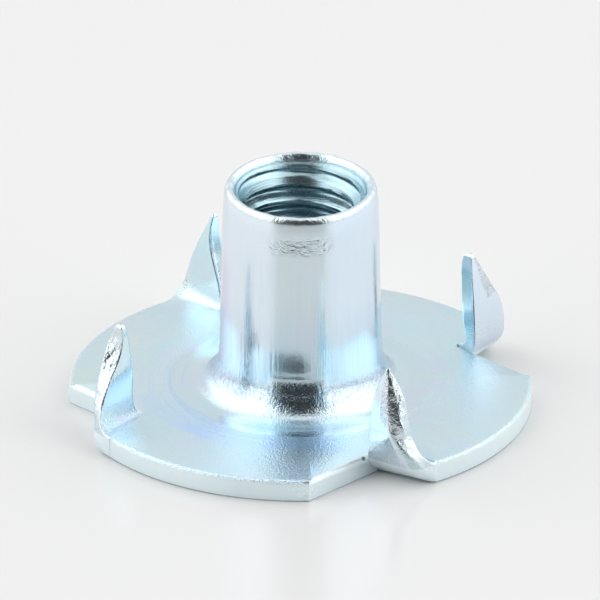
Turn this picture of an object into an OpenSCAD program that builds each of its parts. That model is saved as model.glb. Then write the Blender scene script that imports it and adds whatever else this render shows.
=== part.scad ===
// Four-prong tee nut, M6, pressed and drawn from one piece of sheet steel.
// The flange lies flat on Z = 0, the barrel stands up along +Z on the Z axis.
// The helical thread is left to the finished look: the bore here is the thread's minor diameter.

/* [Flange] */
// Outside diameter of the round flange
flange_d = 22; // [18:0.5:30]
// Thickness of the sheet, at the flange
sheet_t = 1.05; // [0.8:0.05:1.6]
// Rounding of the flange's upper rim
rim_round = 0.18; // [0.05:0.01:0.3]
// Rounding of the flange's lower rim
rim_round_low = 0.06; // [0.02:0.01:0.2]

/* [Barrel] */
// Height of the whole nut, from the underside of the flange to the lip
nut_h = 11.4; // [9:0.1:20]
// Outside diameter of the barrel just below the lip
barrel_top_d = 7.34; // [6.8:0.02:8.4]
// Outside diameter of the barrel's straight middle
barrel_d = 7.6; // [7:0.02:9]
// Length of the barrel's straight middle
straight_h = 3; // [1:0.1:3.4]
// Outside diameter of the barrel where its foot fillet starts
barrel_foot_d = 7.8; // [7:0.02:9.4]
// Length of the taper from the foot fillet up to the straight middle
foot_taper_h = 1.4; // [0.5:0.1:2]
// Radius of the fillet between the barrel and the flange
foot_fillet = 1.15; // [0.6:0.05:2]
// How far the rounded lip draws in from the barrel's wall
lip_draw_in = 0.26; // [0.1:0.02:0.5]
// Height of the rounded lip
lip_h = 0.8; // [0.4:0.05:1.5]

/* [Bore] */
// Diameter of the bore, the minor diameter of the M6 thread
bore_d = 5; // [4.1:0.05:6]
// Diameter of the countersink at the top of the bore
mouth_d = 6.5; // [5.8:0.05:6.6]
// Depth of the countersink at the top of the bore
mouth_depth = 1.1; // [0.4:0.05:2]
// Radius of the drawn-in entry on the flange's underside
entry_r = 1.0; // [0.4:0.05:1.6]

/* [Prongs] */
// Number of prongs round the flange
prong_count = 4; // [3:1:4]
// Direction of the first slit's outer end, round from +X
slit_start_angle = 2; // [-20:1:40]
// Length of the slit that frees one side of each prong
slit_length = 4.93; // [3.6:0.05:6]
// Angle between the slit and the radius at the rim
slit_skew = 47; // [35:1:58]
// Inside radius of the fold at the foot of the prong
fold_r = 0.1; // [0.05:0.05:0.6]
// Height of the prong's tip over the underside
prong_h = 5.7; // [3.5:0.05:8]
// Width of the prong just over its fold
prong_w = 2.1; // [1.6:0.05:2.6]
// Width of the prong's blunt tip
tip_w = 0.44; // [0.3:0.02:0.9]
// Thickness of the prong's blunt tip
tip_t = 0.5; // [0.3:0.05:0.8]
// How far the slit side leans over between the fold and the tip
tip_lean = 0.62; // [0:0.02:1]
// Extra width of the prong's foot on the rim side
foot_flare = 0.35; // [0:0.05:0.7]

/* [Hidden] */
$fn = 96;

zinc = [0.74, 0.79, 0.82];
flange_r = flange_d / 2;
barrel_top_r = barrel_top_d / 2;
barrel_r = barrel_d / 2;
barrel_foot_r = barrel_foot_d / 2;
straight_from = sheet_t + foot_fillet + foot_taper_h;  // height where the straight middle starts
bore_r = bore_d / 2;
mouth_r = mouth_d / 2;
lip_r = barrel_top_r - lip_draw_in;
arc_steps = 8;    // points on a rounded corner of a turned profile
edge_steps = 14;  // points on the prong's curved edge
slack = 1;        // how far a cutter runs past the metal

// the slit runs inward from the rim, and the fold leaves its inner end square to it
slit_dir = slit_start_angle + 180 - slit_skew;
fold_dir = slit_dir - 90;
slit_end = [
    flange_r * cos(slit_start_angle) + slit_length * cos(slit_dir),
    flange_r * sin(slit_start_angle) + slit_length * sin(slit_dir),
];
// length of the fold line, from the slit's inner end out to the rim
slit_end_along = slit_end[0] * cos(fold_dir) + slit_end[1] * sin(fold_dir);
slit_end_across = slit_end[1] * cos(fold_dir) - slit_end[0] * sin(fold_dir);
fold_length = sqrt(flange_r * flange_r - slit_end_across * slit_end_across) - slit_end_along;

fold_top = sheet_t + fold_r;         // height where the fold ends and the blade starts
blade_mid = fold_r + sheet_t / 2;    // middle of the blade, out from the fold line
flare_reach = 0.3;                   // share of the blade's height that the foot flare takes
edge_power = 1.9;                    // how late the curved edge turns in towards the tip

// points of a quarter round, centre c, radii rx and ry, from angle a0 to a1
function quarter(c, rx, ry, a0, a1) = [
    for (i = [0 : arc_steps]) c + [rx * cos(a0 + (a1 - a0) * i / arc_steps), ry * sin(a0 + (a1 - a0) * i / arc_steps)]
];

// distance of the prong's curved edge from the slit side, at share k of the blade's height
function curved_edge(k) =
    tip_lean + tip_w
    + (prong_w - tip_lean - tip_w) * (1 - pow(k, edge_power))
    + foot_flare * pow(max(0, 1 - k / flare_reach), 2);

// section of the flange, from the middle out to the rounded rim
module flange_section() {
    polygon(concat(
        [[0, 0]],
        quarter([flange_r - rim_round_low, rim_round_low], rim_round_low, rim_round_low, -90, 0),
        quarter([flange_r - rim_round, sheet_t - rim_round], rim_round, rim_round, 0, 90),
        [[0, sheet_t]]
    ));
}

// section of the solid barrel: foot fillet, taper, straight middle, taper, rounded lip
module barrel_section() {
    polygon(concat(
        [[0, 0], [barrel_foot_r + foot_fillet, 0]],
        quarter([barrel_foot_r + foot_fillet, sheet_t + foot_fillet], foot_fillet, foot_fillet, 270, 180),
        [[barrel_r, straight_from], [barrel_r, straight_from + straight_h]],
        quarter([lip_r, nut_h - lip_h], lip_draw_in, lip_h, 0, 90),
        [[0, nut_h]]
    ));
}

// section of the way through: drawn-in entry, bore, countersink
module bore_section() {
    polygon(concat(
        [[0, -slack], [bore_r + entry_r, -slack]],
        quarter([bore_r + entry_r, entry_r], entry_r, entry_r, 270, 180),
        [
            [bore_r, nut_h - mouth_depth],
            [mouth_r, nut_h],
            [mouth_r, nut_h + slack],
            [0, nut_h + slack],
        ]
    ));
}

// puts a prong's own frame in place: X out along the fold, Y back along the slit to the rim
module at_prong(n) {
    rotate([0, 0, n * 360 / prong_count])
        translate([slit_end[0], slit_end[1], 0])
            rotate([0, 0, fold_dir]) mirror([0, 1, 0]) children();
}

// the metal that left the flange when the prong was folded up
module notch() {
    translate([0, 0, -slack])
        cube([flange_r, slit_length + flange_r, sheet_t + 2 * slack]);
}

// front outline of a prong, fold and blade together: X along the fold, Y upwards
module prong_outline() {
    polygon(concat(
        [[0, 0], [fold_length, 0]],
        [for (i = [0 : edge_steps]) [
            min(fold_length, curved_edge(i / edge_steps)),
            fold_top + (prong_h - fold_top) * i / edge_steps
        ]],
        [[tip_lean, prong_h], [0, fold_top]]
    ));
}

// side section of the blade over the fold: X out from the fold line, Y upwards
module blade_section() {
    polygon([
        [fold_r, fold_top],
        [fold_r + sheet_t, fold_top],
        [blade_mid + tip_t / 2, prong_h],
        [blade_mid - tip_t / 2, prong_h],
    ]);
}

module prong() {
    intersection() {
        union() {
            translate([0, 0, fold_top]) rotate([0, 90, 0])
                rotate_extrude(angle = 90)
                    translate([fold_r, 0]) square([sheet_t, fold_length]);
            translate([fold_length, 0, 0]) rotate([90, 0, -90])
                mirror([1, 0, 0]) linear_extrude(fold_length) blade_section();
        }
        translate([0, fold_top + slack, 0]) rotate([90, 0, 0])
            linear_extrude(fold_top + 2 * slack) prong_outline();
    }
}

module tee_nut() {
    color(zinc) difference() {
        union() {
            difference() {
                rotate_extrude() flange_section();
                for (n = [0 : prong_count - 1]) at_prong(n) notch();
            }
            rotate_extrude() barrel_section();
            for (n = [0 : prong_count - 1]) at_prong(n) prong();
        }
        rotate_extrude() bore_section();
    }
}

tee_nut();
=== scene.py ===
# A four-prong M6 tee nut, pressed from one piece of sheet steel and zinc plated, standing on its
# flange on a pale table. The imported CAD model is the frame, and everything is in its place in metres.
import math

import bmesh
import bpy
from mathutils import Matrix, Vector, noise


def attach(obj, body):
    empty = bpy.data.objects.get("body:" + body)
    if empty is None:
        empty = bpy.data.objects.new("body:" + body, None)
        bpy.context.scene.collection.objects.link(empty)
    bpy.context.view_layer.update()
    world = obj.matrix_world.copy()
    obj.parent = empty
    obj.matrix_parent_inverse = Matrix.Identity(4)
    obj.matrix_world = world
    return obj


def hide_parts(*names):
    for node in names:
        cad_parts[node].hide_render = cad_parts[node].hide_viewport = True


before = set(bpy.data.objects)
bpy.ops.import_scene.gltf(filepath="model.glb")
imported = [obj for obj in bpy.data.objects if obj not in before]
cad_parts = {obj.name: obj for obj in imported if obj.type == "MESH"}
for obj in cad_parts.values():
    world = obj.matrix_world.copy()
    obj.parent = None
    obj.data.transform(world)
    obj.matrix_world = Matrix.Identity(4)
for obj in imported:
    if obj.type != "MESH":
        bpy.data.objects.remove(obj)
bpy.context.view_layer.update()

# Studio: the camera looks down on the nut from the front through a long lens.
# The table is a smooth pale laminate, and a pale tent with a gap at its front surrounds it.
camera_height_deg = 25.2
camera_distance = 0.5
camera_aim_up = 0.00473
camera_aim_right = -0.000033

elevation = math.radians(camera_height_deg)
look = Vector((0.0, math.cos(elevation), -math.sin(elevation)))
upright = Vector((0.0, math.sin(elevation), math.cos(elevation)))
camera = bpy.data.objects.new("camera", bpy.data.cameras.new("camera"))
camera.data.lens = 630.0
camera.data.sensor_width = 36.0
camera.data.clip_start = 0.01
camera.data.clip_end = 20.0
camera.location = upright * camera_aim_up - look * camera_distance
camera.location.x += camera_aim_right
camera.rotation_euler = look.to_track_quat("-Z", "Y").to_euler()
bpy.context.scene.collection.objects.link(camera)
bpy.context.scene.camera = camera
bpy.context.scene.view_settings.view_transform = "Standard"


class Channel:
    """One value of a material, on which sums can be written out."""

    def __init__(self, tree, socket):
        self.tree = tree
        self.socket = socket

    def node(self, kind, settings=(), inputs=(), output=0):
        made = self.tree.nodes.new(kind)
        for name, value in dict(settings).items():
            setattr(made, name, value)
        for name, value in dict(inputs).items():
            if isinstance(value, Channel):
                self.tree.links.new(value.socket, made.inputs[name])
            else:
                made.inputs[name].default_value = value
        return Channel(self.tree, made.outputs[output] if made.outputs else None)

    def sum(self, operation, *values):
        return self.node("ShaderNodeMath", {"operation": operation}, dict(enumerate(values)))

    def __add__(self, other):
        return self.sum("ADD", self, other)

    def __radd__(self, other):
        return self.sum("ADD", other, self)

    def __sub__(self, other):
        return self.sum("SUBTRACT", self, other)

    def __rsub__(self, other):
        return self.sum("SUBTRACT", other, self)

    def __mul__(self, other):
        return self.sum("MULTIPLY", self, other)

    def __rmul__(self, other):
        return self.sum("MULTIPLY", other, self)

    def __pow__(self, other):
        return self.sum("POWER", self, other)

    def __abs__(self):
        return self.sum("ABSOLUTE", self)

    def parts(self):
        """The three numbers of a vector."""
        split = self.node("ShaderNodeSeparateXYZ", inputs={0: self}).socket.node
        return [Channel(self.tree, socket) for socket in split.outputs]

    def times(self, factors):
        """A vector with each of its numbers multiplied."""
        return self.node("ShaderNodeVectorMath", {"operation": "MULTIPLY"}, {0: self, 1: factors})

    def noise(self, scale, detail=2.0, roughness=0.5):
        """Soft random values about 0.5, with the vector as the place."""
        return self.node(
            "ShaderNodeTexNoise",
            inputs={"Vector": self, "Scale": scale, "Detail": detail, "Roughness": roughness},
        )

    def smooth(self, start, end):
        """0 before start, 1 after end, and a smooth rise between them."""
        return self.node(
            "ShaderNodeMapRange",
            {"interpolation_type": "SMOOTHSTEP"},
            {"Value": self, "From Min": start, "From Max": end, "To Min": 0.0, "To Max": 1.0},
        )

    def band(self, middle, half, soft):
        """1 within half of the middle, falling to 0 over soft."""
        return 1.0 - abs(self - middle).smooth(half, half + soft)

    def blend(self, first, second):
        """A colour between two, with this value as the share of the second."""
        ends = [end if isinstance(end, Channel) else (*end, 1.0) for end in (first, second)]
        # a colour Mix takes its share at input 0 and its colours at 6 and 7, and gives output 2
        inputs = {0: self, 6: ends[0], 7: ends[1]}
        return self.node("ShaderNodeMix", {"data_type": "RGBA"}, inputs, output=2)


def empty_tree(owner):
    owner.use_nodes = True
    owner.node_tree.nodes.clear()
    return Channel(owner.node_tree, None)


# The tent is pale all round. The gap in front is wide, reaches nearly overhead, and stays dark.
backdrop_strength = 0.87
tent_strength = 0.87
softbox_strength = 0.8
roof_strength = 0.1
gap_strength = 0.06
gap_half_width = 0.72
gap_top = 0.93
gap_floor_slope = 0.3
gap_blur = 0.05

tent = bpy.data.worlds.new("tent")
bpy.context.scene.world = tent
air = empty_tree(tent)
way = air.node("ShaderNodeTexCoord", output="Generated")
across, along, height = way.parts()
forward = 0.0 - along
beside_gap = (abs(across) - forward * gap_half_width).smooth(-0.05, 0.09)
above_gap = (height - gap_top).smooth(0.0, gap_blur)
below_gap = (0.0 - height - forward * gap_floor_slope).smooth(0.0, gap_blur)
outside_gap = air.sum("MAXIMUM", air.sum("MAXIMUM", beside_gap, above_gap), below_gap)
softbox = abs(across).smooth(0.5, 0.74) * height.smooth(0.07, 0.2)
canopy = abs(across).smooth(0.15, 0.45) * height.band(0.76, 0.14, 0.12)
roof = height.smooth(0.6, 0.95)
glow = tent_strength + softbox_strength * softbox + softbox_strength * canopy + roof_strength * roof
light = outside_gap * glow + (1.0 - outside_gap) * gap_strength
# the camera sees a plain backdrop, and everything else sees the tent
seen = air.node("ShaderNodeLightPath", output="Is Camera Ray")
light = seen * backdrop_strength + (1.0 - seen) * light
backdrop = air.node(
    "ShaderNodeBackground",
    inputs={"Color": (1.0, 1.0, 1.0, 1.0), "Strength": light},
)
air.node("ShaderNodeOutputWorld", inputs={"Surface": backdrop})

table_half_width = 2.0
table_drop = 0.00001
laminate_colour = (0.72, 0.72, 0.72, 1.0)
laminate_roughness = 0.22
laminate_shine = 0.4

table_top = bmesh.new()
bmesh.ops.create_grid(table_top, x_segments=1, y_segments=1, size=table_half_width)
table_mesh = bpy.data.meshes.new("table")
table_top.to_mesh(table_mesh)
table_top.free()
table = bpy.data.objects.new("table", table_mesh)
table.location.z = -table_drop
bpy.context.scene.collection.objects.link(table)
laminate = bpy.data.materials.new("pale laminate")
laminate_tree = empty_tree(laminate)
surface = laminate_tree.node(
    "ShaderNodeBsdfPrincipled",
    inputs={
        "Base Color": laminate_colour,
        "Roughness": laminate_roughness,
        "Specular IOR Level": laminate_shine,
    },
)
laminate_tree.node("ShaderNodeOutputMaterial", inputs={"Surface": surface})
table_mesh.materials.append(laminate)

# Tee nut: one blank of sheet steel. The flange is blanked round, the prongs are slit in from the rim
# and folded up, the barrel is drawn and tapped M6, and the whole is plated in blue-passivated zinc.
flange_radius = 10.996
sheet_thickness = 1.05
upper_round = 0.18
lower_round = 0.06
slit_start_deg = 2.0
slit_length = 4.93
slit_direction_deg = 135.0
fold_turn_deg = 14.6
fold_lift = 0.05
fold_lift_reach = 0.5
slit_chamfer = 0.19
quarter_start_deg = -10.0
quarter_steps = 64
join_radius = 5.6


def at(radius, degrees, height=0.0):
    turn = math.radians(degrees)
    return Vector((radius * math.cos(turn), radius * math.sin(turn), height))


def arc(centre_r, centre_z, radius, start_deg, end_deg, steps):
    """Points on a rounded corner of a turned profile, ends included."""
    points = []
    for step in range(steps + 1):
        turn = math.radians(start_deg + (end_deg - start_deg) * step / steps)
        points.append((centre_r + radius * math.cos(turn), centre_z + radius * math.sin(turn)))
    return points


def turn_profile(bm, profile, sweep_deg, steps, whole=False, climb=0.0):
    """Spins a profile of (radius, height) points round the Z axis, climbing a little at each step."""
    made = [bm.verts.new(at(radius, quarter_start_deg, height)) for radius, height in profile]
    edges = [bm.edges.new(pair) for pair in zip(made, made[1:])]
    bmesh.ops.spin(
        bm,
        geom=made + edges,
        cent=(0, 0, 0),
        axis=(0, 0, 1),
        dvec=(0, 0, climb / steps),
        angle=math.radians(sweep_deg),
        steps=steps,
        use_merge=whole,
    )


def ease(value, start, end):
    share = max(0.0, min(1.0, (value - start) / (end - start)))
    return share * share * (3 - 2 * share)


nut = bmesh.new()
torn = nut.faces.layers.float.new("torn")
outer = nut.faces.layers.float.new("outer")
flange_profile = [
    (join_radius, sheet_thickness),
    (6.0, sheet_thickness),
    (6.3, sheet_thickness),
    (6.42, sheet_thickness - 0.012),
    (6.55, sheet_thickness - 0.018),
    (6.68, sheet_thickness - 0.004),
    (6.9, sheet_thickness),
    (7.05, sheet_thickness - 0.006),
    (7.2, sheet_thickness),
    (7.6, sheet_thickness),
    (8.2, sheet_thickness),
]
flange_profile += arc(
    flange_radius - upper_round, sheet_thickness - upper_round, upper_round, 90, 0, 5
)
flange_profile += [(flange_radius, 0.1 * tenth) for tenth in range(8, 0, -1)]
flange_profile += arc(flange_radius - lower_round, lower_round, lower_round, 0, -90, 2)
flange_profile += [(8.2, 0.0), (join_radius, 0.0)]

slit_way = at(1, slit_direction_deg)
back_way = -slit_way
fold_way = at(1, slit_direction_deg - 90)
fold_line_way = at(1, slit_direction_deg - 90 + fold_turn_deg)
fold_line_side = at(1, slit_direction_deg - 180 + fold_turn_deg)
slit_end = at(flange_radius, slit_start_deg) + slit_way * slit_length

# corners of a prong's section, as (along the fold, out from it, height): inner face at the slit,
# outer face at the slit, outer face at the rim, the ridge of the rim side, inner face at the rim
prong_root = [
    (0.00, 0.00, 1.10), (0.00, 0.00, 0.00),
    (2.83, -0.74, 0.00), (2.83, -0.74, 0.52), (2.83, -0.74, 1.05),
]
# the bend at each prong's foot: no two prongs came out of the press alike
prong_feet = [
    [
        [
            (0.00, 0.20, 1.15), (0.00, 0.42, 0.14),
            (2.70, -0.42, 0.10), (2.80, -0.46, 0.58), (2.80, -0.46, 1.10),
        ],
        [
            (0.02, 0.38, 1.27), (0.01, 0.86, 0.56),
            (2.46, 0.26, 0.46), (2.68, 0.04, 0.84), (2.70, -0.16, 1.33),
        ],
        [
            (0.04, 0.46, 1.50), (0.04, 1.10, 1.18),
            (2.44, 0.86, 1.12), (2.56, 0.48, 1.40), (2.50, 0.08, 1.68),
        ],
    ],
    [
        [
            (0.02, 0.10, 1.15), (0.00, 0.58, 0.12),
            (2.80, 0.04, 0.06), (2.86, -0.22, 0.55), (2.88, -0.42, 1.10),
        ],
        [
            (0.05, 0.18, 1.27), (0.01, 0.98, 0.52),
            (2.72, 0.62, 0.44), (2.86, 0.26, 0.82), (2.90, -0.10, 1.30),
        ],
        [
            (0.13, 0.23, 1.52), (0.06, 1.12, 1.15),
            (2.42, 0.96, 1.20), (2.74, 0.58, 1.38), (2.79, 0.13, 1.64),
        ],
    ],
    [
        [
            (0.00, 0.15, 1.125), (0.00, 0.58, 0.12),
            (2.78, 0.02, 0.06), (2.82, -0.25, 0.55), (2.80, -0.38, 1.10),
        ],
        [
            (0.06, 0.27, 1.26), (0.02, 0.98, 0.52),
            (2.66, 0.60, 0.44), (2.74, 0.22, 0.80), (2.70, -0.02, 1.34),
        ],
        [
            (0.18, 0.30, 1.56), (0.08, 1.12, 1.15),
            (2.34, 0.94, 1.20), (2.52, 0.54, 1.38), (2.50, 0.22, 1.70),
        ],
    ],
    [
        [
            (0.00, 0.11, 1.16), (0.00, 0.42, 0.14),
            (2.72, -0.45, 0.10), (2.82, -0.48, 0.58), (2.80, -0.50, 1.12),
        ],
        [
            (0.00, 0.20, 1.27), (0.01, 0.86, 0.56),
            (2.56, 0.14, 0.48), (2.72, -0.04, 0.84), (2.70, -0.22, 1.34),
        ],
        [
            (0.00, 0.25, 1.46), (0.04, 1.10, 1.18),
            (2.36, 0.72, 1.20), (2.54, 0.42, 1.40), (2.46, 0.02, 1.68),
        ],
    ],
]
# the same corners up each blade, at the blade's heights
prong_blades = [
    [
        (2.20, (0.00, 0.36), (0.08, 1.08), (2.24, 1.05), (2.34, 0.65), (2.26, 0.16)),
        (3.25, (0.00, 0.21), (0.06, 1.04), (1.86, 1.05), (1.96, 0.66), (1.86, 0.24)),
        (4.30, (0.00, 0.20), (0.04, 0.98), (1.22, 0.98), (1.38, 0.66), (1.32, 0.30)),
        (5.20, (0.00, 0.19), (0.05, 0.90), (0.70, 0.90), (0.84, 0.60), (0.80, 0.34)),
        (5.80, (0.08, 0.22), (0.10, 0.78), (0.38, 0.78), (0.48, 0.56), (0.42, 0.32)),
    ],
    [
        (2.10, (0.30, 0.25), (0.32, 1.05), (2.20, 1.05), (2.58, 0.65), (2.63, 0.22)),
        (3.10, (0.66, 0.26), (0.62, 1.03), (1.86, 1.05), (2.22, 0.65), (2.29, 0.25)),
        (4.10, (1.00, 0.30), (0.90, 1.00), (1.60, 1.00), (1.88, 0.65), (1.84, 0.28)),
        (4.95, (1.02, 0.36), (0.96, 0.90), (1.30, 0.90), (1.50, 0.62), (1.40, 0.36)),
        (5.60, (0.90, 0.42), (0.90, 0.76), (1.12, 0.80), (1.20, 0.62), (1.08, 0.42)),
    ],
    [
        (2.10, (0.30, 0.27), (0.15, 1.10), (2.22, 1.06), (2.36, 0.68), (2.26, 0.34)),
        (3.10, (0.32, 0.22), (0.15, 1.08), (1.84, 1.14), (1.84, 0.76), (1.76, 0.40)),
        (4.10, (0.38, 0.28), (0.25, 1.10), (1.37, 1.21), (1.18, 0.84), (1.03, 0.48)),
        (4.95, (0.40, 0.40), (0.38, 1.14), (0.94, 1.24), (0.84, 0.88), (0.74, 0.50)),
        (5.58, (0.42, 0.52), (0.48, 1.00), (0.80, 1.02), (0.80, 0.76), (0.74, 0.52)),
    ],
    [
        (2.35, (0.00, 0.25), (0.09, 1.08), (1.78, 1.14), (1.98, 0.63), (2.05, 0.09)),
        (2.95, (0.01, 0.24), (0.15, 1.05), (1.47, 1.12), (1.99, 0.71), (1.91, 0.14)),
        (4.10, (0.12, 0.25), (0.31, 0.98), (1.20, 0.99), (1.56, 0.64), (1.71, 0.22)),
        (4.95, (0.36, 0.31), (0.53, 0.89), (1.09, 0.77), (1.21, 0.64), (1.33, 0.32)),
        (5.58, (0.70, 0.42), (0.79, 0.70), (0.94, 0.64), (0.98, 0.58), (0.97, 0.48)),
    ],
]
# rounding of the section's corners, from the foot up to the tip
corner_round = [
    (0.02, 0.02, 0.10, 0.12),
    (0.05, 0.05, 0.25, 0.12),
    (0.07, 0.07, 0.35, 0.10),
    (0.08, 0.07, 0.38, 0.08),
    (0.08, 0.06, 0.28, 0.07),
    (0.08, 0.06, 0.12, 0.06),
    (0.08, 0.06, 0.08, 0.05),
    (0.06, 0.06, 0.06, 0.05),
    (0.06, 0.06, 0.06, 0.06),
]
# how much softer the first of those corners is on each prong
corner_softness = [1.0, 2.2, 1.0, 1.0]
steps_between = 7
wide_places = [0.02, 0.045, 0.07, 0.12, 0.24, 0.4, 0.6, 0.76, 0.86, 0.91, 0.94, 0.97]
deep_places = [0.05, 0.1, 0.2, 0.4, 0.6, 0.8, 0.9, 0.95]
# how the rim side of a prong tore: where that starts, counted in rows, and how deep it is
tear_start = 2.6
tear_depth = 0.16
tear_half_width = 0.45
side_share = 0.96
outer_share = 0.94
outer_from = 1.5
tip_tear_from = 5.2
tip_tear_wander = 0.4
# each prong's blunt end, as (share of the size before, rise)
tip_cap = [(0.88, 0.05), (0.62, 0.075), (0.4, 0.03)]
# extra rows of faces beside the fold, and how far the cuts for them reach
fold_rows = (0.12, 0.28, 0.5)
slit_overrun = 0.7
fold_strip = 1.2
fold_strip_end = 0.4
slit_strip = 1.0
lift_base = 0.5
# the worn upper edge of the slit
edge_wear = 0.35
edge_wander = 0.25
edge_drop_wander = 0.3
line_tolerance = 1e-3
merge_distance = 1e-4
cut_tolerance = 1e-5
closest_share = 0.008


def between(before, first, second, after, share):
    """A point on the smooth curve through first and second."""
    square = share * share
    cube = square * share
    return 0.5 * (
        2 * first
        + (second - before) * share
        + (2 * before - 5 * first + 4 * second - after) * square
        + (3 * first - before - 3 * second + after) * cube
    )


def along_track(rows, place):
    """Every number of the rows, taken at a place that runs from 0 to the last row."""
    index = min(int(place), len(rows) - 2)
    share = place - index
    near = [rows[max(0, min(len(rows) - 1, index + step))] for step in (-1, 0, 1, 2)]
    return [between(a, b, c, d, share) for a, b, c, d in zip(*near)]


def rounded(wide, deep, reach_wide, reach_deep):
    """A point on the side of a unit square, moved on to its rounded corners."""
    flip_wide = wide > 0.5
    flip_deep = deep > 0.5
    w = 1 - wide if flip_wide else wide
    d = 1 - deep if flip_deep else deep
    if w < reach_wide and d < reach_deep and (w == 0 or d == 0):
        if d == 0:
            turn = (1 - w / reach_wide) * math.pi / 4
        else:
            turn = math.pi / 2 - (1 - d / reach_deep) * math.pi / 4
        w = reach_wide * (1 - math.sin(turn))
        d = reach_deep * (1 - math.cos(turn))
    return (1 - w if flip_wide else w, 1 - d if flip_deep else d)


def section_point(rows, place, wide, deep, softness):
    numbers = along_track(rows, place)
    a, b, c, ridge, d = [Vector(numbers[i : i + 3]) for i in (0, 3, 6, 9, 12)]
    radii = along_track(corner_round, place)
    radii[0] *= softness
    side = (0 if deep < 0.5 else 1) if wide < 0.5 else (3 if deep < 0.5 else 2)
    width = ((d - a).length, (c - b).length)[deep >= 0.5]
    depth = ((b - a).length, (c - d).length)[wide >= 0.5]
    w, e = rounded(wide, deep, min(0.45, radii[side] / width), min(0.45, radii[side] / depth))
    swell = (1 - abs(2 * e - 1)) * max(0.0, w) ** 3
    return a.lerp(d, w).lerp(b.lerp(c, w), e) + (ridge - (c + d) / 2) * swell


def newer(bm, older):
    """The vertices, edges and faces that were not there before."""
    verts = [v for v in bm.verts if v not in older]
    edges = list({e for v in verts for e in v.link_edges})
    faces = list({f for v in verts for f in v.link_faces})
    return verts, edges, faces


def beyond(face, side, least=0.0):
    return (face.calc_center_median() - slit_end).dot(side) > least


def cut_faces(bm, faces, place, side):
    """Cuts only these faces with a plane."""
    edges = list({e for f in faces for e in f.edges})
    verts = list({v for f in faces for v in f.verts})
    bmesh.ops.bisect_plane(
        bm, geom=verts + edges + faces, plane_co=place, plane_no=side, dist=cut_tolerance
    )


def on_line(edge, way):
    """True if an edge lies in the upright plane that runs out from the slit's end."""
    side = way.cross(Vector((0, 0, 1)))
    reach = [v.co - slit_end for v in edge.verts]
    return all(abs(r.dot(side)) < line_tolerance and r.dot(way) > -line_tolerance for r in reach)


def place_along(bm, edges, first, places):
    """Adds points to a straight row of edges at shares of its length, and returns the row and shares."""
    ends = {v for e in edges for v in e.verts}
    start = first.co.copy()
    last = max(ends, key=lambda v: (v.co - start).length)
    length = (last.co - start).length
    share = {v: (v.co - start).length / length for v in ends}
    row = sorted(ends, key=share.get)
    for place in places:
        if min(abs(place - s) for s in share.values()) < closest_share:
            continue
        index = max(i for i, v in enumerate(row) if share[v] < place)
        here, there = row[index], row[index + 1]
        edge = next(e for e in here.link_edges if e.other_vert(here) is there)
        split, new = bmesh.utils.edge_split(
            edge, here, (place - share[here]) / (share[there] - share[here])
        )
        new.co = start.lerp(last.co, place)
        share[new] = place
        row.insert(index + 1, new)
    return row, share


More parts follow.
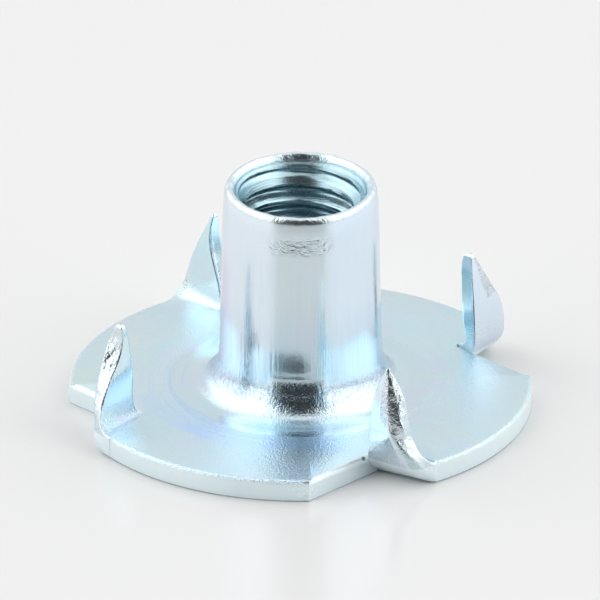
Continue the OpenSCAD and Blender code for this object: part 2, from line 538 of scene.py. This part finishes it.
def build_quarter(bm, prong_number):
    older = set(bm.verts)
    turn_profile(bm, flange_profile, 90.0, quarter_steps)
    verts, edges, faces = newer(bm, older)
    cut_faces(bm, [f for f in faces if beyond(f, back_way, -slit_overrun)], slit_end, fold_way)
    verts, edges, faces = newer(bm, older)
    cut_faces(bm, [f for f in faces if beyond(f, fold_way)], slit_end, fold_line_side)
    verts, edges, faces = newer(bm, older)
    gone = [f for f in faces if beyond(f, fold_way) and beyond(f, fold_line_side)]
    bmesh.ops.delete(bm, geom=gone, context="FACES")
    # extra rows of faces beside the fold and the slit, for the bend's foot and the slit's worn edge
    for inward in fold_rows:
        verts, edges, faces = newer(bm, older)
        near = [f for f in faces if beyond(f, fold_line_side, -fold_strip)]
        near = [f for f in near if beyond(f, fold_way, -fold_strip_end)]
        near = [f for f in near if not beyond(f, fold_line_side)]
        cut_faces(bm, near, slit_end - fold_line_side * inward, fold_line_side)
    verts, edges, faces = newer(bm, older)
    near = [f for f in faces if beyond(f, back_way) and not beyond(f, fold_way)]
    near = [f for f in near if beyond(f, fold_way, -slit_strip)]
    cut_faces(bm, near, slit_end - fold_way * slit_chamfer, fold_way)

    verts, edges, faces = newer(bm, older)
    cut = [e for e in edges if len(e.link_faces) == 1]
    slit_cut = [e for e in cut if on_line(e, back_way)]
    fold_cut = [e for e in cut if on_line(e, fold_line_way)]
    corner = [v for v in verts if (v.co - slit_end).xy.length < merge_distance]
    top, low = sorted(corner, key=lambda v: -v.co.z)
    stile = bm.edges.new((top, low))
    slit_face = bmesh.ops.contextual_create(bm, geom=slit_cut + [stile])["faces"][0]
    fold_face = bmesh.ops.contextual_create(bm, geom=fold_cut + [stile])["faces"][0]
    # cut the long sides of the fold's face where the prong's rounded corners will need points
    level = [e for e in fold_cut if abs(e.verts[0].co.z - e.verts[1].co.z) < cut_tolerance]
    share = {}
    ends = []
    for first, deep in ((top, 0.0), (low, 1.0)):
        row_edges = [e for e in level if abs(e.verts[0].co.z - first.co.z) < cut_tolerance]
        row, shares = place_along(bm, row_edges, first, wide_places)
        share.update({v: (wide, deep) for v, wide in shares.items()})
        ends.append(row[-1])
    row, shares = place_along(bm, [stile], top, deep_places)
    share.update({v: (0.0, deep) for v, deep in shares.items()})
    loop = list(fold_face.verts)
    rim_row = [v for v in loop if v not in share]
    rim_row.sort(key=lambda v: -v.co.z + 0.01 * (v.co - slit_end).dot(fold_line_way))
    rim_row = [ends[0]] + rim_row + [ends[1]]
    steps = [0.0] + [(b.co - a.co).length for a, b in zip(rim_row, rim_row[1:])]
    for index, vert in enumerate(rim_row):
        share[vert] = (1.0, sum(steps[: index + 1]) / sum(steps))
    order = [share[v] for v in loop]
    marks = {v: (0.0, *share[v]) for v in loop}
    face = fold_face
    blade = [[(*uv, row[0]) for uv in row[1:]] for row in prong_blades[prong_number]]
    foot = [prong_root] + prong_feet[prong_number]
    rows = [[number for corner in row for number in corner] for row in foot + blade]
    stations = (len(rows) - 1) * steps_between
    origin = Vector((slit_end.x, slit_end.y, 0))
    for station in range(1, stations + 1):
        place = station / steps_between
        face = bmesh.ops.extrude_discrete_faces(bm, faces=[face])["faces"][0]
        for vert, (wide, deep) in zip(face.verts, order):
            u, v, z = section_point(rows, place, wide, deep, corner_softness[prong_number])
            if wide == 1.0:
                rough = ease(place, tear_start, tear_start + 1) * (0.5 - abs(deep - 0.5)) * tear_depth
                u += rough * noise.noise(Vector((v * 4, z * 3, 7.0 * prong_number)))
            vert.co = origin + fold_way * u + back_way * v
            vert.co.z = z
            marks[vert] = (place, wide, deep)
    middle = face.calc_center_median()
    for shrink, rise in tip_cap:
        face = bmesh.ops.extrude_discrete_faces(bm, faces=[face])["faces"][0]
        for vert in face.verts:
            vert.co = middle + (vert.co - middle) * shrink
            marks[vert] = (place + 1, 1.0, 0.5)
        middle = middle + Vector((0, 0, rise))
        for vert in face.verts:
            vert.co.z += rise
    verts, edges, faces = newer(bm, older)
    for face in faces:
        if all(v in marks for v in face.verts):
            places, wides, deeps = zip(*[marks[v] for v in face.verts])
            full_width = ease(min(places), tear_start, tear_start + 2)
            reach_down = tear_half_width + (1 - tear_half_width) * full_width
            if min(wides) > side_share and max(deeps) < reach_down + 0.01:
                face[torn] = 1.0
            # outer faces of the blades, which the plate later paints paler as painted light
            if min(deeps) > outer_share and min(places) > outer_from:
                face[outer] = 1.0
            wander = noise.noise(face.calc_center_median() * 3)
            on_outside = min(deeps) == 1.0 and min(wides) > 0.5
            if on_outside and min(places) > tip_tear_from + tip_tear_wander * wander:
                face[torn] = 1.0

    # the sheet rises a little into the fold, and the slit's upper edge is dulled and ragged
    for vert in verts:
        reach = vert.co - slit_end
        inward = -reach.dot(fold_line_side)
        on_sheet = vert.co.z > lift_base and marks.get(vert, (0,))[0] == 0
        if on_sheet and -merge_distance < inward < fold_lift_reach:
            share = ease(reach.dot(fold_line_way), -0.5, 0.1) * (1 - inward / fold_lift_reach) ** 2
            vert.co.z += fold_lift * share * (vert.co.z - lift_base) / (sheet_thickness - lift_base)
    slit_top = [
        e for e in slit_face.edges if min(v.co.z for v in e.verts) > 0.9 and not e.is_boundary
    ]
    cut_faces(bm, [slit_face], Vector((0, 0, sheet_thickness - slit_chamfer)), Vector((0, 0, 1)))
    for vert in {v for e in slit_top if e.is_valid for v in e.verts}:
        reach = (vert.co - slit_end).dot(back_way)
        on_slit = abs((vert.co - slit_end).dot(fold_way)) < merge_distance
        if on_slit and vert.co.z > sheet_thickness - 0.02 and reach > 0.02:
            jag = noise.noise(Vector((vert.co.x * 6, vert.co.y * 6, 3.0)))
            vert.co -= fold_way * slit_chamfer * (edge_wear + edge_wander * jag)
            vert.co.z -= slit_chamfer * (edge_wear - edge_drop_wander * jag)
    for face in newer(bm, older)[2]:
        reach = face.calc_center_median() - slit_end
        off = -reach.dot(fold_way)
        high = reach.z > sheet_thickness - 0.1 - slit_chamfer
        beside_slit = -line_tolerance < off < slit_chamfer and reach.dot(back_way) > 0
        if high and beside_slit and not all(v in marks for v in face.verts):
            face[torn] = 1.0
    verts, edges, faces = newer(bm, older)
    turn = math.radians(90.0 * prong_number)
    bmesh.ops.rotate(bm, verts=verts, cent=(0, 0, 0), matrix=Matrix.Rotation(turn, 3, "Z"))


for number in range(4):
    build_quarter(nut, number)

# barrel, drawn out of the same sheet, with its rounded lip and its tapped bore
nut_height = 11.4
lip_drop = 0.35
lip_drop_from = 9.6
lip_drop_over = 1.8
lip_jag = 0.03
lip_jag_from = 10.6
wall_inside = 3.3
wall_outside = 4.7
barrel_track = [
    (5.45, 1.05), (5.08, 1.09), (4.75, 1.20), (4.52, 1.36), (4.34, 1.55), (4.18, 1.78), (4.05, 2.02),
    (3.96, 2.25), (3.905, 2.5), (3.872, 2.9), (3.853, 3.3), (3.838, 3.8), (3.828, 4.3), (3.810, 5.2),
    (3.787, 6.1), (3.757, 7.0), (3.738, 8.0), (3.72, 9.0), (3.69, 9.8), (3.668, 10.4), (3.642, 10.76),
    (3.618, 11.0), (3.585, 11.16), (3.535, 11.29), (3.465, 11.37), (3.385, 11.4), (3.305, 11.385),
    (3.235, 11.33), (3.175, 11.24), (3.12, 11.14),
]
# a shallow pad on the front of the barrel's foot: how proud it is at each step up from its lower end
pad_from = 1.4
pad_rise = 0.2
pad_depth = [
    (0.0,), (0.0,), (0.012,), (0.052,), (0.08,), (0.074,),
    (0.047,), (0.016,), (0.012,), (0.003,), (0.0,),
]
pad_start_deg = -110.0
pad_end_deg = -72.6
pad_edge_deg = 1.4
track_steps = 4
barrel_profile = [(join_radius, sheet_thickness)]
for step in range((len(barrel_track) - 1) * track_steps + 1):
    barrel_profile.append(tuple(along_track(barrel_track, step / track_steps)))
barrel_profile.append((3.08, 11.06))
entry_radius = 1.0
entry_start = 3.5
entry_profile = arc(entry_start, entry_radius, entry_radius, 205, 270, 9)
entry_profile += [(4.6, 0.0), (join_radius, 0.0)]
before_barrel = set(nut.verts)
turn_profile(nut, barrel_profile, 360.0, 4 * quarter_steps, whole=True)
turn_profile(nut, entry_profile, 360.0, 4 * quarter_steps, whole=True)

# M6 thread, right-handed: one pitch of its form is (distance from the crest, share of the depth)
thread_pitch = 1.0
thread_steps = 128
crest_radius = 2.5
root_radius = 2.96
crest_height = 10.17
turns_below = 11
turns_above = 2
half_form = [
    (0.06, 0.0), (0.1, 0.05), (0.14, 0.17), (0.2, 0.34), (0.25, 0.5), (0.3, 0.66), (0.35, 0.81),
    (0.4, 0.93), (0.45, 0.985),
]
form = [(-off, share) for off, share in reversed(half_form)] + [(0.0, 0.0)] + half_form + [(0.5, 1.0)]
start_crest = crest_height - thread_pitch * (90.0 - quarter_start_deg) / 360.0
thread_profile = [
    (crest_radius + (root_radius - crest_radius) * share, start_crest + (count + off) * thread_pitch)
    for count in range(-turns_below, turns_above)
    for off, share in form
]
before_thread = set(nut.verts)
turn_profile(nut, thread_profile, 360.0, thread_steps, climb=thread_pitch)
thread_top = 11.0
thread_low = 0.16
thread_wear = 0.02
worn_inside = 2.9
# the countersink: a small steep corner at the lip, then a cone
countersink_radius = 3.055
countersink_from = 10.0
corner_drop = 0.05
corner_slope = 1.35
cone_slope = 0.5
tapped, edges, faces = newer(nut, before_thread)
bmesh.ops.remove_doubles(nut, verts=tapped, dist=merge_distance)
for cut_height, upward in ((thread_top, 1), (thread_low, -1)):
    tapped, edges, faces = newer(nut, before_thread)
    bmesh.ops.bisect_plane(
        nut,
        geom=tapped + edges + faces,
        plane_co=(0, 0, cut_height),
        plane_no=(0, 0, upward),
        clear_outer=True,
        dist=cut_tolerance,
    )
tapped, edges, faces = newer(nut, before_thread)


def open_radius(height):
    """The countersink at the lip and the drawn-in entry below cut the thread's ends away."""
    if height > countersink_from:
        corner = min(thread_top - height, corner_drop) * corner_slope
        cone = max(0.0, thread_top - corner_drop - height) * cone_slope
        return countersink_radius - corner - cone
    if height < entry_radius:
        rise = entry_radius - height
        return entry_start - math.sqrt(max(0.0, entry_radius**2 - rise**2))
    return 0.0


for vert in tapped:
    radius = vert.co.xy.length
    cut_radius = open_radius(vert.co.z)
    wear = thread_wear * noise.noise(vert.co * 2.3) * ease(vert.co.z, 1.2, 2.0)
    radius_now = max(radius + wear * (radius < worn_inside), cut_radius)
    vert.co.xy = vert.co.xy * (radius_now / radius)

for cut_height, low, high in ((thread_top, 10.98, 11.1), (thread_low, 0.0, 0.9)):
    rim_edges = [
        e for e in nut.edges
        if len(e.link_faces) == 1
        and all(low < v.co.z < high and v.co.xy.length < 3.4 for v in e.verts)
    ]
    bmesh.ops.bridge_loops(nut, edges=rim_edges)

# a faint upright crease on the front of the barrel, the pad, the lip's slope and its jagged edge
crease_deg = quarter_start_deg - 44 * 90.0 / quarter_steps
crease_slope = 0.06
crease_reach_deg = 8.0
crease_end_deg = 60
for vert in [v for v in nut.verts if v not in before_barrel]:
    radius = vert.co.xy.length
    past = math.degrees(math.atan2(vert.co.y, vert.co.x)) - crease_deg
    on_wall = wall_inside < radius < wall_outside
    if on_wall and 0 < past < crease_end_deg:
        sink = crease_slope * radius * math.radians(past) * math.exp(-past / crease_reach_deg)
        sink *= ease(vert.co.z, 1.3, 1.8) * (1 - ease(vert.co.z, 9.0, 10.0))
        vert.co.xy = vert.co.xy * (1 - sink / radius)
    heading = math.degrees(math.atan2(vert.co.y, vert.co.x))
    pad_place = (vert.co.z - pad_from) / pad_rise
    if on_wall and 0 < pad_place < len(pad_depth) - 1:
        across = ease(heading, pad_start_deg - 3 * pad_edge_deg, pad_start_deg)
        across *= 1 - ease(heading, pad_end_deg, pad_end_deg + pad_edge_deg)
        vert.co.xy = vert.co.xy * (1 + across * along_track(pad_depth, pad_place)[0] / radius)
    if vert.co.z > lip_drop_from:
        forward_share = 0.5 - 0.5 * vert.co.y / vert.co.xy.length
        share = ((vert.co.z - lip_drop_from) / lip_drop_over) ** 1.5
        vert.co.z -= lip_drop * share * forward_share
    if vert.co.z > lip_jag_from and vert.co.xy.length > worn_inside:
        jag = noise.noise(vert.co * 2.6) * ease(vert.co.z, lip_jag_from, thread_top)
        vert.co.z = min(nut_height, vert.co.z + lip_jag * jag)

bmesh.ops.remove_doubles(nut, verts=nut.verts, dist=merge_distance)
bmesh.ops.recalc_face_normals(nut, faces=nut.faces)
sharp_deg = 38.0
for face in nut.faces:
    face.smooth = True
for edge in nut.edges:
    if len(edge.link_faces) == 2 and edge.calc_face_angle() > math.radians(sharp_deg):
        edge.smooth = False
metres_per_mm = 0.001
bmesh.ops.scale(nut, vec=(metres_per_mm, metres_per_mm, metres_per_mm), verts=nut.verts)
mesh = bpy.data.meshes.new("tee_nut_plated")
nut.to_mesh(mesh)
nut.free()
tee_nut = bpy.data.objects.new("tee_nut_plated", mesh)
bpy.context.scene.collection.objects.link(tee_nut)

# zinc plate: where each part of the nut is, in millimetres from the middle of its underside
zinc = bpy.data.materials.new("blue passivated zinc")
plate = empty_tree(zinc)
spot = plate.node("ShaderNodeTexCoord", output="Object").times((1000.0, 1000.0, 1000.0))
x, y, z = spot.parts()
radius = (x * x + y * y) ** 0.5
leftward = 0.0 - x
frontward = 0.0 - y
on_flange = radius.smooth(5.0, 5.6) * (1.0 - z.smooth(1.1, 1.3))
on_barrel = (1.0 - radius.smooth(4.2, 5.0)) * radius.smooth(3.2, 3.35)
in_bore = 1.0 - radius.smooth(3.1, 3.16)
on_fillet = z.band(1.35, 0.35, 0.9) * radius.band(4.6, 0.5, 0.5)
tear = plate.node("ShaderNodeAttribute", {"attribute_name": "torn"}, output="Fac")
outside = plate.node("ShaderNodeAttribute", {"attribute_name": "outer"}, output="Fac")
upper_barrel = on_barrel * z.smooth(4.5, 7.0)
cut_edge = radius.smooth(5.6, 6.0) * z.band(0.5, 0.42, 0.08)
lip = z.smooth(10.75, 11.0)
foot_lines = on_barrel * (1.0 - z.smooth(3.5, 6.5))
bend = z.band(1.5, 0.3, 0.5) * radius.smooth(6.0, 6.4)
front_ring = radius.band(6.9, 0.6, 0.7) * on_flange * frontward.smooth(0.5, 3.5)
front_ring = front_ring * (1.0 - x.smooth(1.2, 2.6))
# painted shade: a patch on the front of the flange is painted darker, standing for a dark reflection
# there; it is also made smoother and finely grained
wander = spot.noise(0.6, 2.0) - 0.5
front_patch = (frontward + wander).smooth(4.8, 6.8)
front_patch = front_patch * (1.0 - abs(x - 0.2 + wander).smooth(0.2, 2.0)) * on_flange

# patterns: rings left by the press, clouds and streaks in the film, flecks, dark specks, and one spot of
# painted shade
ring_place = plate.node("ShaderNodeCombineXYZ", inputs={0: radius * 5.0, 1: x * 0.12, 2: y * 0.12})
rings = ring_place.noise(1.0, 3.0, 0.6) - 0.5
ring_streak = (rings + 0.5).smooth(0.52, 0.6) * radius.band(6.4, 0.9, 0.5) * on_flange
ring_streak = ring_streak * (1.0 - x.smooth(0.5, 2.5)) * (1.0 - y.smooth(0.0, 3.0))
cloud = spot.noise(0.35, 3.0, 0.55).smooth(0.35, 0.65)
lilac = spot.times((1.0, 1.0, 0.6)).noise(0.5, 2.0).smooth(0.5, 0.66)
straw = spot.times((0.8, 0.8, 0.8)).noise(0.3, 2.0).smooth(0.5, 0.65) * radius.smooth(7.0, 9.0)
streak = spot.times((9.0, 9.0, 0.22)).noise(1.0, 2.0, 0.6).smooth(0.5, 0.6)
streak_share = 0.15 * on_barrel + 0.4 * foot_lines
streak_share = streak_share + 0.12 * radius.smooth(5.5, 6.0) * z.smooth(1.6, 2.4)
flecks = spot.noise(6.0, 3.0, 0.7).smooth(0.5, 0.58) * z.band(2.0, 0.3, 0.4) * on_barrel
# dark specks on the torn outer faces of the prongs
dark_specks = spot.noise(12.0, 2.0, 0.6).smooth(0.46, 0.58) * tear * outside
# painted shade: a dark spot beside the slit's end at one prong's foot, standing for the shade of a small
# dent that the mesh does not have
shade_spot_place = (2.97, -8.40, 1.0)
to_shade_spot = plate.node(
    "ShaderNodeVectorMath",
    {"operation": "DISTANCE"},
    {0: spot, 1: shade_spot_place},
    output="Value",
)

# colour of the passivated film, which is thicker in some places than in others, with painted light and
# shade laid into some layers: each layer's share and colour, laid over those before it
film = cloud.blend((0.605, 0.775, 0.845), (0.635, 0.775, 0.83))
film_layers = [
    (lilac * 0.5, (0.67, 0.73, 0.87)),
    (front_ring * (0.4 + 0.6 * lilac), (0.54, 0.73, 0.97)),
    (straw * 0.5, (0.67, 0.79, 0.76)),
    (ring_streak * 0.5, (0.50, 0.67, 0.90)),
    # painted light: the upper barrel is painted lighter and greyer, standing for the pale table it
    # mirrors
    (upper_barrel * 0.8, (0.74, 0.83, 0.86)),
    (x.smooth(1.0, 1.6) * on_barrel * z.smooth(2.5, 4.0) * 0.6, (0.70, 0.82, 0.95)),
    (leftward.smooth(1.0, 1.6) * on_barrel * z.smooth(2.5, 4.0) * 0.6, (0.76, 0.82, 0.90)),
    (leftward.smooth(3.2, 3.6) * on_barrel * z.band(4.8, 2.0, 2.0) * 0.7, (0.70, 0.67, 0.85)),
    # painted shade: the bore is painted a darker teal
    (in_bore * 0.95, (0.38, 0.54, 0.60)),
    # painted light: the blades' outer faces are painted paler, standing for a brighter reflection of the
    # table
    (outside * 0.8, (0.72, 0.81, 0.91)),
    (streak * streak_share, (0.53, 0.72, 0.90)),
    # painted shade on the front of the flange
    (front_patch * 0.5, (0.42, 0.57, 0.73)),
    (flecks * 0.7, (0.36, 0.52, 0.72)),
    (tear * 0.6, (0.70, 0.75, 0.78)),
    (dark_specks * 0.7, (0.38, 0.43, 0.49)),
    # painted light: the rim's cut side is painted near white and made less metallic, so it shows lighter
    # than the shaded table in front of it lets it; its added roughness is the duller sheared surface
    (cut_edge * 0.9, (0.85, 0.97, 1.0)),
    # painted shade: the dark spot at the prong's foot
    (1.0 - to_shade_spot.smooth(0.09, 0.17), (0.2, 0.22, 0.26)),
]
for share, colour in film_layers:
    film = share.blend(film, colour)

# surface marks, as heights in millimetres
grain = spot.noise(10.0, 2.0, 0.6) - 0.5
grain_height = 0.0025 + 0.012 * on_fillet + 0.0025 * radius.band(6.6, 1.6, 3.0) * on_flange
grain_height = grain_height + 0.03 * bend + 0.022 * lip + 0.004 * front_patch
ripple = spot.noise(3.0, 2.0, 0.5) - 0.5
draw_lines = spot.times((10.0, 10.0, 0.3)).noise(1.0, 3.0, 0.6) - 0.5
draw_share = 0.7 * on_barrel + 2.0 * foot_lines
draw_share = draw_share + 1.2 * z.smooth(1.6, 2.4) * radius.smooth(5.5, 6.0)
tap_place = plate.node("ShaderNodeCombineXYZ", inputs={0: x * 0.5, 1: y * 0.5, 2: z * 9.0})
tear_marks = (spot.noise(9.0, 2.0, 0.6) - 0.5) * 0.022 + (spot.noise(3.5, 2.0) - 0.5) * 0.04
turn = plate.sum("ARCTAN2", y, x)
under_lip = z.band(9.65, 0.15, 0.45) * turn.band(-1.571, 0.3, 0.25)
crinkle = abs(spot.times((1.0, 1.0, 1.6)).noise(2.2, 3.0, 0.6) - 0.5)
marks = grain * grain_height
marks = marks + grain * radius.smooth(10.76, 10.84) * z.smooth(0.84, 0.92) * 0.05
marks = marks + ripple * (0.0012 + 0.003 * on_flange + 0.008 * on_fillet)
marks = marks + draw_lines * draw_share * 0.006
marks = marks + (tap_place.noise(1.0, 3.0, 0.6) - 0.5) * in_bore * 0.02
marks = marks + rings * on_flange * (0.002 + 0.004 * radius.band(6.4, 0.9, 0.6))
marks = marks - crinkle * under_lip * 0.13
marks = marks * (1.0 - tear) + tear_marks * tear
bumps = plate.node(
    "ShaderNodeBump",
    inputs={"Strength": 1.0, "Distance": metres_per_mm, "Height": marks},
)
dull = 0.07 + 0.07 * spot.noise(1.1, 3.0) + 0.08 * upper_barrel + 0.16 * in_bore + 0.08 * tear
dull = dull - 0.06 * front_patch + 0.16 * cut_edge + 0.07 * on_flange + 0.03 * lip + 0.22 * bend
# the lower metallic on the cut side goes with the painted light on it
skin = plate.node(
    "ShaderNodeBsdfPrincipled",
    inputs={"Base Color": film, "Metallic": 1.0 - 0.45 * cut_edge, "Roughness": dull, "Normal": bumps},
)
plate.node("ShaderNodeOutputMaterial", inputs={"Surface": skin})
mesh.materials.append(zinc)
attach(tee_nut, "root")
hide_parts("tee_nut")
